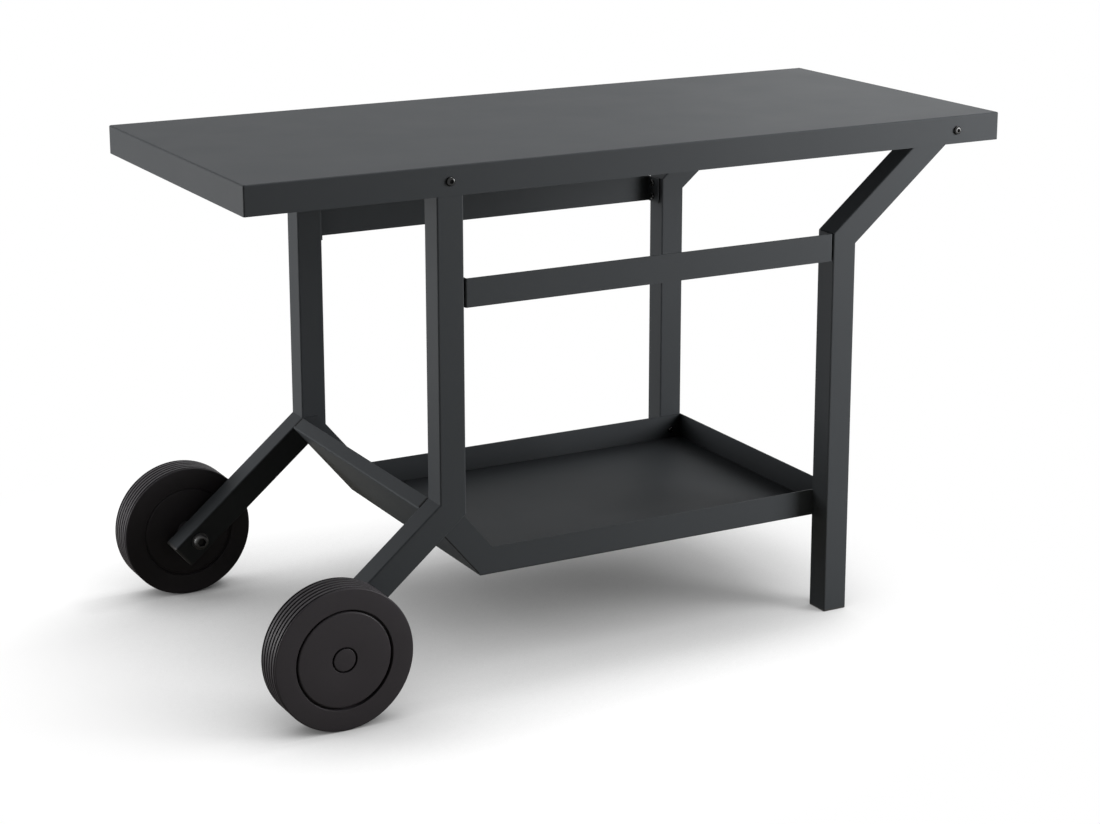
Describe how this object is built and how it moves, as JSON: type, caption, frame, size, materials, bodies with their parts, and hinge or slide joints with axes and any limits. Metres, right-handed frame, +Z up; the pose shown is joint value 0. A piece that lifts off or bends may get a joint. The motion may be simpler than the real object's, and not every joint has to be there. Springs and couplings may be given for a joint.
{
  "type": "griddle cart",
  "caption": "Long steel griddle cart: a folded flat top on square-tube legs, a lower tray with a sloping end, rails at the sides and wheels on angled arms.",
  "frame": {"origin": "on the floor, under the middle of the top", "axes": "+X along the top from the wheels towards the feet, +Y to the back, +Z up"},
  "size_m": [1.22, 0.6534, 0.75],
  "materials": {
    "powder_coat": "satin anthracite powder coat with a fine texture",
    "tyre_rubber": "matt black rubber",
    "wheel_plastic": "matt black moulded plastic",
    "cap_plastic": "matt black moulded plastic",
    "black_screws": "black-coated steel, slightly shiny",
    "zinc_steel": "zinc-plated steel"
  },
  "bodies": {
    "frame": {"table_top": "powder_coat", "front_wheel_leg_upright": "powder_coat", "rear_wheel_leg_upright": "powder_coat", "front_wheel_leg_arm": "powder_coat", "rear_wheel_leg_arm": "powder_coat", "front_foot_leg_upright": "powder_coat", "rear_foot_leg_upright": "powder_coat", "front_foot_leg_diagonal": "powder_coat", "rear_foot_leg_diagonal": "powder_coat", "front_foot_leg_top_bar": "powder_coat", "rear_foot_leg_top_bar": "powder_coat", "front_rail": "powder_coat", "rear_rail": "powder_coat", "lower_tray": "powder_coat", "front_arm_end_cap": "cap_plastic", "rear_arm_end_cap": "cap_plastic", "front_top_bar_end_cap": "cap_plastic", "rear_top_bar_end_cap": "cap_plastic", "front_foot_cap": "cap_plastic", "rear_foot_cap": "cap_plastic", "table_top_screws": "black_screws", "rail_screws": "black_screws", "tray_screws": "black_screws", "axle_bolts": "black_screws", "axle_washers": "black_screws", "axle_sleeves": "zinc_steel", "axle_nuts": "zinc_steel", "table_top_blind_nuts": "zinc_steel", "leg_blind_nuts": "zinc_steel"},
    "front_wheel": {"front_tyre": "tyre_rubber", "front_wheel_centre": "wheel_plastic", "front_hub_cap": "wheel_plastic"},
    "rear_wheel": {"rear_tyre": "tyre_rubber", "rear_wheel_centre": "wheel_plastic", "rear_hub_cap": "wheel_plastic"}
  },
  "joints": [
    {"name": "front_wheel_spin", "type": "hinge", "parent": "frame", "child": "front_wheel", "pos_m": [-0.50776, -0.3017, 0.1015], "axis": [0, 1, 0], "continuous": true},
    {"name": "rear_wheel_spin", "type": "hinge", "parent": "frame", "child": "rear_wheel", "pos_m": [-0.50776, 0.3017, 0.1015], "axis": [0, 1, 0], "continuous": true}
  ]
}
